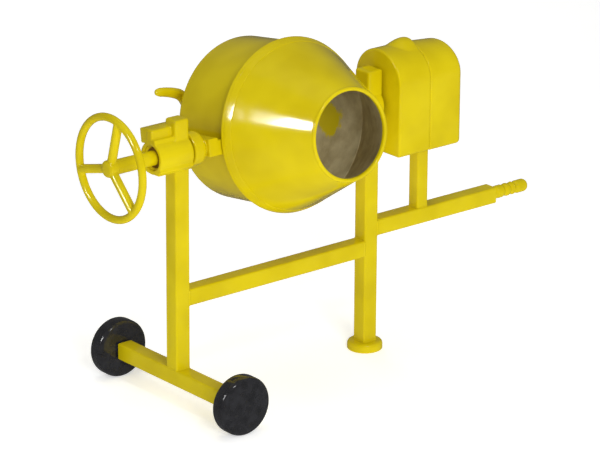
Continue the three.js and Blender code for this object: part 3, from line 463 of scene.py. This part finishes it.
def makeBearings():
    axisHeight = stand["trunnionHeight"]
    centre = (0, 0, axisHeight)
    top = axisHeight + housing["tower"]
    section = bmesh.new()
    under = 2 - housing["radius"]
    slope = 16  # the block's lower corners are cut back this far
    outline = [(housing["blockFront"], under + slope), (housing["blockFront"] + slope, under),
               (housing["blockBack"] - slope, under), (housing["blockBack"], under + slope),
               (housing["lugBack"], housing["blockTop"]), (-20, housing["blockTop"])]
    face = section.faces.new([section.verts.new((housing["start"], y, axisHeight + z)) for y, z in outline])
    grown = bmesh.ops.extrude_face_region(section, geom=[face])
    bmesh.ops.translate(section, vec=(half - housing["start"], 0, 0),
                        verts=[v for v in grown["geom"] if isinstance(v, bmesh.types.BMVert)])
    bmesh.ops.recalc_face_normals(section, faces=section.faces)
    left = combined(
        [section, bar("x", housing["start"], half, housing["radius"], centre, 128),
         block((-half, -half, axisHeight), (half, half, top), 8),
         block((housing["start"], housing["lugFront"], axisHeight), (0, housing["lugBack"],
                                                                    axisHeight + housing["lugTop"]), 7)],
        [bar("x", housing["start"] - 1, half + 1, housing["bore"], centre),
         bar("x", housing["start"] - 1, housing["start"] + housing["recess"], housing["bore"] + 8, centre),
         bar("z", axisHeight, top - 24, 14)])
    finishPiece("left_bearing", castEdges(left, 1.5, 34), softAngle=80)
    x = stand["postSpan"]
    towerStart, towerEnd = housing["driveTowerX"]
    side = housing["driveTowerY"]
    right = combined(
        [bar("x", x - half, x + half, housing["radius"], centre, 128),
         block((x + towerStart, -side, axisHeight),
               (x + towerEnd, side, axisHeight + housing["driveTower"]), 8)],
        [bar("x", x - half - 1, x + half + 10, housing["rightBore"], centre)])
    finishPiece("right_bearing", castEdges(right, 1.5, 34), softAngle=80)
    for node in ("left_bush", "right_bush", "brake_pad", "brake_spring"):
        smoothCopy(node)


def makeWheels():
    wheel = {"radius": 105, "width": 64, "rounding": 17, "dome": 3, "bush": 18, "boreEnd": 16, "track": 696}
    inner = -wheel["width"] / 2
    outer = wheel["width"] / 2
    outline = [(0, wheel["boreEnd"], 0), (wheel["bush"], wheel["boreEnd"], 0), (wheel["bush"], inner, 1.5),
               (wheel["radius"], inner, wheel["rounding"]), (wheel["radius"], outer, wheel["rounding"]),
               (wheel["radius"] * 0.42, outer + wheel["dome"] * 0.75, 12), (0, outer + wheel["dome"], 0)]
    for name, side in (("near", -1), ("far", 1)):
        at = (0, side * wheel["track"] / 2, wheel["radius"])
        facing = [(radius, side * along, rounding) for radius, along, rounding in outline]
        finishPiece("wheel_" + name, lathe(facing, "y", at, 160), softAngle=50)
        smoothCopy("hub_bush_" + name)


# ---- pieces that tip with the drum ----

def makeHandwheel():
    wheel = {"x": -281, "radius": 177, "tube": 14, "spoke": 16, "cap": 6, "hub": 30, "hubLength": 32,
             "firstSpoke": -7, "bore": 12.3}
    hubStart = wheel["x"] - wheel["hubLength"] / 2
    hubEnd = wheel["x"] + wheel["hubLength"] / 2
    rim = bmesh.new()
    bmesh.ops.create_circle(rim, segments=28, radius=wheel["tube"])
    bmesh.ops.translate(rim, vec=(wheel["radius"], 0, 0), verts=rim.verts)
    bmesh.ops.spin(rim, geom=rim.verts[:] + rim.edges[:], cent=(0, 0, 0), axis=(0, 1, 0),
                   angle=2 * math.pi, steps=180, use_merge=True)
    bmesh.ops.remove_doubles(rim, verts=rim.verts, dist=0.001)
    bmesh.ops.recalc_face_normals(rim, faces=rim.faces)
    upright = Matrix.Translation((wheel["x"], 0, 0)) @ Matrix.Rotation(math.radians(90), 4, "Z")
    bmesh.ops.transform(rim, matrix=upright, verts=rim.verts)
    solids = [rim, bar("x", hubStart, hubEnd, wheel["hub"])]
    for i in range(3):
        spoke = bar("y", 0, wheel["radius"], wheel["spoke"], steps=40)
        turn = Matrix.Translation((wheel["x"], 0, 0)) @ Matrix.Rotation(
            math.radians(wheel["firstSpoke"] + 120 * i), 4, "X")
        bmesh.ops.transform(spoke, matrix=turn, verts=spoke.verts)
        solids.append(spoke)
    whole = combined(solids, [bar("x", hubStart - 1, hubEnd + 1, wheel["bore"])])
    finishPiece("handwheel", castEdges(whole, 1.7, 12), tipping, softAngle=80)
    capRadius = wheel["hub"] - 2
    cap = lathe([(0, hubStart - wheel["cap"], 0), (capRadius * 0.7, hubStart - wheel["cap"] * 0.8, 4),
                 (capRadius, hubStart - 2, 1.5), (capRadius, hubStart - 0.3, 0), (0, hubStart - 0.3, 0)],
                "x", steps=96)
    finishPiece("handwheel_cap", cap, tipping)
    shaft = {"radius": 26, "spigot": 12, "end": 123}
    finishPiece("trunnion_shaft", lathe(
        [(0, hubStart, 0), (shaft["spigot"], hubStart, 1), (shaft["spigot"], hubEnd + 0.3, 0),
         (shaft["radius"], hubEnd + 0.3, 2), (shaft["radius"], shaft["end"], 1), (0, shaft["end"], 0)],
        "x", steps=96), tipping)


yoke = {"height": 54, "thickness": 42, "front": 46, "reach": 320, "left": 123, "right": 797,
        "boss": 60, "bossStart": 36, "headEnd": 164, "headDrop": 9, "shaft": 26.3, "sleeve": 17}


def makeYoke():
    low, high = -yoke["height"] / 2, yoke["height"] / 2
    width = yoke["thickness"] / 2
    rear = yoke["reach"] + low - 0.3
    inner = yoke["left"] - width
    boss = lathe([(0, yoke["bossStart"], 0), (yoke["boss"], yoke["bossStart"], 6),
                  (yoke["boss"], yoke["bossStart"] + 42, 8), (high, inner + 4, 0), (0, inner + 4, 0)], "x")
    left = combined(
        [block((inner, -yoke["front"], low), (yoke["left"] + width, rear, high), 3), boss,
         block((inner, -yoke["front"], low - yoke["headDrop"]),
               (yoke["headEnd"], -yoke["front"] + 38, high - yoke["headDrop"]), 3)],
        [bar("x", yoke["bossStart"] - 1, yoke["left"] + 0.3, yoke["shaft"])])
    finishPiece("yoke_arm_left", castEdges(left, 1.9, 5), tipping, softAngle=80)
    right = combined([block((yoke["right"] - width, -yoke["front"], low),
                            (yoke["right"] + width, rear, high), 5)],
                     [bar("x", yoke["right"] - 40, yoke["right"] + 40, yoke["sleeve"])])
    finishPiece("yoke_arm_right", right, tipping)
    socket = {"radius": 52.3, "start": 268, "end": 372}
    at = (stand["drumX"], 0, stand["drumRise"])
    ends = {"yoke_cross_left": (inner, stand["drumX"]),
            "yoke_cross_right": (stand["drumX"], yoke["right"] + width)}
    for node, (start, end) in ends.items():
        beam = combined([block((start, yoke["reach"] + low, low), (end, yoke["reach"] + high, high), 5)],
                        [bar("y", socket["start"] - 1, socket["end"] + 1, socket["radius"], at)])
        finishPiece(node, beam, tipping)
    # the horn is the CAD bend with an even, softened skin
    bm = bmesh.new()
    bm.from_mesh(frame["nodes"]["yoke_grip"].data)
    bmesh.ops.remove_doubles(bm, verts=bm.verts, dist=0.00001)
    horn = castEdges(heldObject(bm), 0.002, 14)
    finishPiece("yoke_grip", horn, Matrix.Identity(4), softAngle=80)
    for node in ("right_trunnion", "shaft_bush_inner", "shaft_bush_outer", "spindle_bearing_front",
                 "spindle_bearing_rear"):
        smoothCopy(node)
    tube = {"radius": 52, "seat": 40, "shoulder": 30, "bearing": 22}
    frontSeat = socket["start"] + tube["bearing"]
    rearSeat = socket["end"] - tube["bearing"]
    finishPiece("spindle_housing", lathe(
        [(tube["shoulder"], frontSeat, 0), (tube["seat"], frontSeat, 0),
         (tube["seat"], socket["start"], 1), (tube["radius"], socket["start"], 2),
         (tube["radius"], socket["end"], 7), (tube["seat"], socket["end"], 1),
         (tube["seat"], rearSeat, 0), (tube["shoulder"], rearSeat, 0)],
        "y", at), tipping)


# ---- drum ----

drum = {"wall": 3, "rearRadius": 287, "frontRadius": 290, "rear": -220, "round": 16, "dish": 26, "seam": 90,
        "coneRadius": 293, "mouth": 375, "mouthRadius": 150, "lip": 7, "hub": 70, "spindle": 24, "nutX": 373}


def insideFaces(bm, floorBelow):
    # faces that look at the mix take the second material
    for face in bm.faces:
        centre = face.calc_center_median()
        outward = Vector((centre.x, centre.y, 0))
        belowBead = centre.z < drum["mouth"] - 16
        looksIn = belowBead and outward.length > 1 and face.normal.dot(outward.normalized()) < -0.3
        looksUp = face.normal.z > 0.7 and centre.z < floorBelow
        atSeam = abs(face.normal.z) > 0.7 and abs(centre.z - drum["seam"]) < 0.5
        if looksIn or looksUp or atSeam:
            face.material_index = 1


def makeDrum():
    rear = drum["rear"]
    dish = rear - drum["dish"]
    hole = drum["spindle"] + 0.3
    wall = drum["wall"]
    pan = lathe([(hole, dish, 0), (drum["hub"], dish, 6), (drum["rearRadius"], rear, drum["round"]),
                 (drum["frontRadius"], drum["seam"], 0), (drum["frontRadius"] - wall, drum["seam"], 0),
                 (drum["rearRadius"] - wall, rear + wall, drum["round"] - wall),
                 (drum["hub"], dish + wall, 6), (hole, dish + wall, 0)], steps=192)
    insideFaces(pan, rear + 20)
    finishPiece("drum_pan", pan, drumPlace, [yellow, inside])

    bead = drum["mouthRadius"] + drum["lip"]
    beadTop = drum["mouth"]
    cone = lathe([(drum["coneRadius"], drum["seam"] + 0.3, 1.5), (bead + 7.2, beadTop - 10, 3),
                  (bead + drum["lip"], beadTop, 6.5), (drum["mouthRadius"], beadTop, 6.5),
                  (drum["mouthRadius"], beadTop - 15, 3), (drum["mouthRadius"] + 9.5, beadTop - 19, 3),
                  (drum["coneRadius"] - wall - 0.5, drum["seam"] + 0.3, 0)], steps=192)
    insideFaces(cone, -999)
    finishPiece("drum_cone", cone, drumPlace, [yellow, inside])
    for i in range(3):
        smoothCopy(f"mixing_blade_{i + 1}", [inside])

    plate = 8
    finishPiece("hub_plate", lathe([(hole, dish - plate, 1), (drum["hub"], dish - plate, 4),
                                    (drum["hub"], dish - 0.3, 0), (hole, dish - 0.3, 0)],
                                   steps=96), drumPlace)
    tail = -drum["nutX"] - 15
    flange = dish + wall + 0.3
    finishPiece("spindle", lathe(
        [(0, tail, 0), (drum["spindle"], tail, 2), (drum["spindle"], flange, 0), (drum["hub"] - 8, flange, 0),
         (drum["hub"] - 8, flange + 6, 2), (drum["hub"] - 20, flange + 10, 4), (0, flange + 10, 0)],
        steps=96), drumPlace)
    nut = combined([bar("z", -drum["nutX"] - 13, -drum["nutX"], 38, steps=6)],
                   [bar("z", -drum["nutX"] - 20, -drum["nutX"] + 5, hole)])
    chamfer = nut.modifiers.new("chamfer", "BEVEL")
    chamfer.width = 1.5
    chamfer.segments = 3
    chamfer.angle_limit = math.radians(50)
    finishPiece("spindle_nut", applied(nut), drumPlace)


def makeRingGear():
    gear = {"teeth": 60, "share": 0.38, "addendum": 6, "dedendum": 8, "flank": 20, "band": 308,
            "skirt": 4, "inner": 291.5, "endRoom": 1.7, "pitch": 60}
    rootPlane = gear["pitch"] + gear["dedendum"]
    tipPlane = gear["pitch"] - gear["addendum"]
    channel = gear["band"] - gear["skirt"]
    bore = drum["frontRadius"] + 0.3
    band = lathe([(bore, rootPlane, 0), (channel, rootPlane, 1.5), (channel, tipPlane - 2, 1),
                  (gear["band"], tipPlane - 2, 1.5), (gear["band"], tipPlane + 1, 2),
                  (drum["coneRadius"] + 1, drum["seam"], 1.2), (bore, drum["seam"], 0)], steps=192)
    middle = (gear["inner"] + channel) / 2
    thickness = gear["share"] * 2 * math.pi * middle / gear["teeth"]
    lean = math.tan(math.radians(gear["flank"]))
    tip = thickness / 2 - gear["addendum"] * lean
    root = thickness / 2 + (gear["dedendum"] + 1) * lean
    tooth = bmesh.new()
    corners = [tooth.verts.new((gear["inner"], across, along)) for across, along in
               ((-root, rootPlane + 1), (root, rootPlane + 1), (tip, tipPlane), (-tip, tipPlane))]
    side = tooth.faces.new(corners)
    grown = bmesh.ops.extrude_face_region(tooth, geom=[side])
    bmesh.ops.translate(tooth, vec=(channel - gear["endRoom"] - gear["inner"], 0, 0),
                        verts=[v for v in grown["geom"] if isinstance(v, bmesh.types.BMVert)])
    bmesh.ops.recalc_face_normals(tooth, faces=tooth.faces)
    # a tooth gap faces the pinion, which lies below the drum's axis
    first = math.pi / gear["teeth"] - math.asin(stand["drumRise"] / middle)
    bmesh.ops.rotate(tooth, cent=(0, 0, 0), matrix=Matrix.Rotation(first, 3, "Z"), verts=tooth.verts)
    bmesh.ops.spin(tooth, geom=tooth.verts[:] + tooth.edges[:] + tooth.faces[:], cent=(0, 0, 0),
                   axis=(0, 0, 1), angle=2 * math.pi * (gear["teeth"] - 1) / gear["teeth"],
                   steps=gear["teeth"] - 1, use_duplicate=True)
    finishPiece("ring_gear", combined([band, tooth]), drumPlace)


# ---- drive and casing ----

casing = {"left": 895, "seam": 1040, "right": 1190, "bottom": 741, "top": 1116, "shoulder": 1002,
          "halfWidth": 122, "wall": 4, "corner": 14, "lip": 8, "lipDepth": 3.5, "shaftHole": 20,
          "postSlot": 26.5, "humpAt": (1020, 8), "humpReach": (62, 66), "humpHeight": 20, "fall": 14}


def archShell(openX, closedX, edge):
    bm = bmesh.new()
    start = bm.verts.new((openX, casing["halfWidth"], casing["shoulder"]))
    bmesh.ops.spin(bm, geom=[start], cent=(openX, 0, casing["shoulder"]), axis=(1, 0, 0), angle=math.pi,
                   steps=56)
    rise = (casing["top"] - casing["shoulder"]) / casing["halfWidth"]
    bmesh.ops.scale(bm, vec=(1, 1, rise), space=Matrix.Translation((-openX, 0, -casing["shoulder"])),
                    verts=bm.verts)
    ends = sorted((v for v in bm.verts if len(v.link_edges) == 1), key=lambda v: v.co.y)
    feet = [bm.verts.new((openX, math.copysign(casing["halfWidth"], v.co.y), casing["bottom"])) for v in ends]
    for end, foot in zip(ends, feet):
        bm.edges.new((end, foot))
    bm.edges.new(feet)
    for foot in feet:
        bmesh.ops.bevel(bm, geom=[foot], offset=casing["corner"], segments=6, profile=0.5, affect="VERTICES",
                        material=-1)
    bmesh.ops.contextual_create(bm, geom=bm.edges[:])
    grown = bmesh.ops.extrude_face_region(bm, geom=bm.faces[:])
    bmesh.ops.translate(bm, vec=(closedX - openX, 0, 0),
                        verts=[v for v in grown["geom"] if isinstance(v, bmesh.types.BMVert)])
    openFaces = [f for f in bm.faces if all(abs(v.co.x - openX) < 0.01 for v in f.verts)]
    bmesh.ops.delete(bm, geom=openFaces, context="FACES_ONLY")
    rim = [e for e in bm.edges if all(abs(v.co.x - closedX) < 0.01 for v in e.verts)]
    bmesh.ops.bevel(bm, geom=rim, offset=edge, segments=7, profile=0.5, affect="EDGES", material=-1)
    along = [e for e in bm.edges if abs(e.verts[0].co.x - e.verts[1].co.x) > abs(closedX - openX) / 2]
    bmesh.ops.subdivide_edges(bm, edges=along, cuts=44, use_grid_fill=True)
    inward = math.copysign(1, closedX - openX)
    for share in (0.02, 0.08, 0.18, 0.32, 0.5, 0.72, 1):
        bmesh.ops.bisect_plane(bm, geom=bm.verts[:] + bm.edges[:] + bm.faces[:], dist=0.0001,
                               plane_co=(openX + inward * share * casing["lip"], 0, 0), plane_no=(1, 0, 0))
    bmesh.ops.recalc_face_normals(bm, faces=bm.faces)
    bm.normal_update()
    return bm


def softenSeam(bm, openX):
    # the pressed edge turns in a little where the two covers meet
    lip = casing["lip"]
    for vert in bm.verts:
        depth = abs(vert.co.x - openX)
        if depth < lip:
            inset = 1 - math.sqrt(1 - (1 - depth / lip) ** 2)
            vert.co -= Vector((0, vert.normal.y, vert.normal.z)) * casing["lipDepth"] * inset


def coverPiece(node, bm, cuts):
    shell = heldObject(bm, "shell")
    thicken = shell.modifiers.new("wall", "SOLIDIFY")
    thicken.thickness = casing["wall"]
    thicken.offset = -1
    applied(shell)
    worked(shell, cuts, "DIFFERENCE", "MANIFOLD")  # the exact solver loses this shell
    finishPiece(node, shell, softAngle=40)


def makeCasing():
    openX = casing["seam"] - 0.25
    belt = archShell(openX, casing["left"], 9)
    humpX, humpY = casing["humpAt"]
    reachX, reachY = casing["humpReach"]
    for vert in belt.verts:
        away = math.hypot((vert.co.x - humpX) / reachX, (vert.co.y - humpY) / reachY)
        if away < 1 and vert.co.z > casing["shoulder"]:
            vert.co.z += casing["humpHeight"] * (1 - away * away) ** 1.25
    softenSeam(belt, openX)
    hole = bar("x", casing["left"] - 5, casing["left"] + 12, casing["shaftHole"],
               (0, 0, stand["trunnionHeight"]))
    coverPiece("belt_cover", belt, [hole])

    openX = casing["seam"] + 0.25
    motor = archShell(openX, casing["right"], 20)
    softenSeam(motor, openX)
    for vert in motor.verts:
        lift = max(0, vert.co.z - casing["shoulder"]) / (casing["top"] - casing["shoulder"])
        vert.co.z -= casing["fall"] * lift * (vert.co.x - openX) / (casing["right"] - openX)
    slot = casing["postSlot"]
    coverPiece("motor_cover", motor, [block((casing["seam"] - 5, -slot, casing["bottom"] - 5),
                                            (stand["motorPost"] + slot, slot, casing["bottom"] + 16))])
    for node in ("back_plate", "motor", "capacitor", "drive_belt", "motor_shaft", "small_pulley", "motor_fan",
                 "large_pulley", "pinion", "drive_shaft"):
        smoothCopy(node)


def makeSwitchgear():
    face = casing["right"] + 0.3
    switch = {"width": 46, "height": 78, "depth": 16, "z": 930, "spacing": 34, "button": 10, "travel": 3}
    wells = []
    for node, z in (("start_button", switch["z"] + switch["spacing"] / 2),
                    ("stop_button", switch["z"] - switch["spacing"] / 2)):
        wells.append(bar("x", face + 2.5, face + switch["depth"] + 5, switch["button"] + 0.5, (0, 0, z), 64))
        start = face + 2.8 + switch["travel"]
        end = face + switch["depth"] + switch["travel"] + 1.5
        finishPiece(node, lathe([(0, start, 0), (switch["button"], start, 0), (switch["button"], end, 1.8),
                                 (0, end, 0)], "x", (0, 0, z), 64))
    halfWide, halfHigh = switch["width"] / 2, switch["height"] / 2
    box = combined([block((face, -halfWide, switch["z"] - halfHigh),
                          (face + switch["depth"], halfWide, switch["z"] + halfHigh), 4)], wells)
    finishPiece("switch_box", box)
    inlet = {"size": 54, "depth": 26, "z": 848, "well": 21, "pin": 2.5}
    side = inlet["size"] / 2
    body = block((face, -side, inlet["z"] - side), (face + inlet["depth"], side, inlet["z"] + side), 4)
    well = bar("x", face + 4, face + inlet["depth"] + 5, inlet["well"], (0, 0, inlet["z"]), 64)
    socket = combined([body], [well])
    pins = [bar("x", face + 3, face + inlet["depth"] - 5, inlet["pin"], (0, y, inlet["z"] + z), 24)
            for y, z in ((-9, -4), (9, -4), (0, 9))]
    finishPiece("power_inlet", worked(socket, pins, "UNION"))


makeStand()
makeTowGrip()
makeBearings()
makeWheels()
print("stand made")
makeHandwheel()
makeYoke()
print("yoke made")
makeDrum()
makeRingGear()
print("drum made")
makeCasing()
makeSwitchgear()
print("casing made")


# ---- camera, light and floor ----

def aimed(place, target):
    return (Vector(target) - Vector(place)).to_track_quat("-Z", "Y")


def makeCamera():
    camera = {"azimuth": -39.55, "elevation": 19.52, "roll": 0.34, "place": (-8.207, -9.567, 4.921),
              "lens": 224.4}
    turn = math.radians(camera["azimuth"])
    lift = math.radians(camera["elevation"])
    back = Vector((math.sin(turn) * math.cos(lift), -math.cos(turn) * math.cos(lift), math.sin(lift)))
    level = Vector((math.cos(turn), math.sin(turn), 0))
    up = back.cross(level)
    roll = math.radians(camera["roll"])
    right = level * math.cos(roll) + up * math.sin(roll)
    above = up * math.cos(roll) - level * math.sin(roll)
    data = bpy.data.cameras.new("studioCamera")
    data.lens = camera["lens"]
    data.sensor_width = 36
    studioCamera = bpy.data.objects.new("studioCamera", data)
    bpy.context.collection.objects.link(studioCamera)
    facing = Matrix((right, above, back)).transposed().to_4x4()
    studioCamera.matrix_world = Matrix.Translation(camera["place"]) @ facing
    bpy.context.scene.camera = studioCamera


def softbox(name, place, target, width, height, watts, reflected=True, lit=True):
    data = bpy.data.lights.new(name, "AREA")
    data.shape = "RECTANGLE"
    data.size = width
    data.size_y = height
    data.energy = watts
    light = bpy.data.objects.new(name, data)
    bpy.context.collection.objects.link(light)
    light.location = place
    light.rotation_mode = "QUATERNION"
    light.rotation_quaternion = aimed(place, target)
    light.visible_glossy = reflected
    light.visible_diffuse = lit


def makeStudio():
    centre = (-0.39, 0, 0.93)
    # the strip shows only as the streak in the gloss
    softbox("stripLight", (-5.0, 0.22, 2.75), centre, 0.42, 1.3, 95, lit=False)
    softbox("sparkLight", (-1.5, -5.0, 6.0), centre, 0.7, 0.7, 50)
    softbox("keyLight", (-3.3, -6.6, 3.3), centre, 2.4, 2.4, 280, reflected=False)
    softbox("topLight", (-0.4, 0.5, 6.5), centre, 4.0, 4.0, 100, reflected=False)
    softbox("backFill", (2.5, 7.0, 3.5), centre, 4.0, 3.0, 110, reflected=False)
    world = bpy.data.worlds.new("studio")
    world.use_nodes = True
    sky = world.node_tree.nodes["Background"]
    sky.inputs["Color"].default_value = rgb("#ffffff")
    # dark walls in the reflections, so the gloss keeps its colour
    gloss = addNode(world, "LightPath", out="Is Glossy Ray")
    seen = addNode(world, "LightPath", out="Is Camera Ray")
    level = addNode(world, "MapRange", {"Value": gloss, "To Min": 0.24, "To Max": 0.1})
    # and pale walls behind the machine
    wall = addNode(world, "Math", {0: seen, 1: 0.66, 2: level}, operation="MULTIPLY_ADD")
    world.node_tree.links.new(wall, sky.inputs["Strength"])
    bpy.context.scene.world = world
    bpy.context.scene.view_settings.view_transform = "Standard"
    bm = bmesh.new()
    bmesh.ops.create_grid(bm, x_segments=1, y_segments=1, size=40)
    floor = heldObject(bm, "floor")
    floor.data.materials.append(floorPaper())
    floor.visible_glossy = False  # kept out of the gloss, which would turn milky


makeCamera()
makeStudio()
print("studio made")
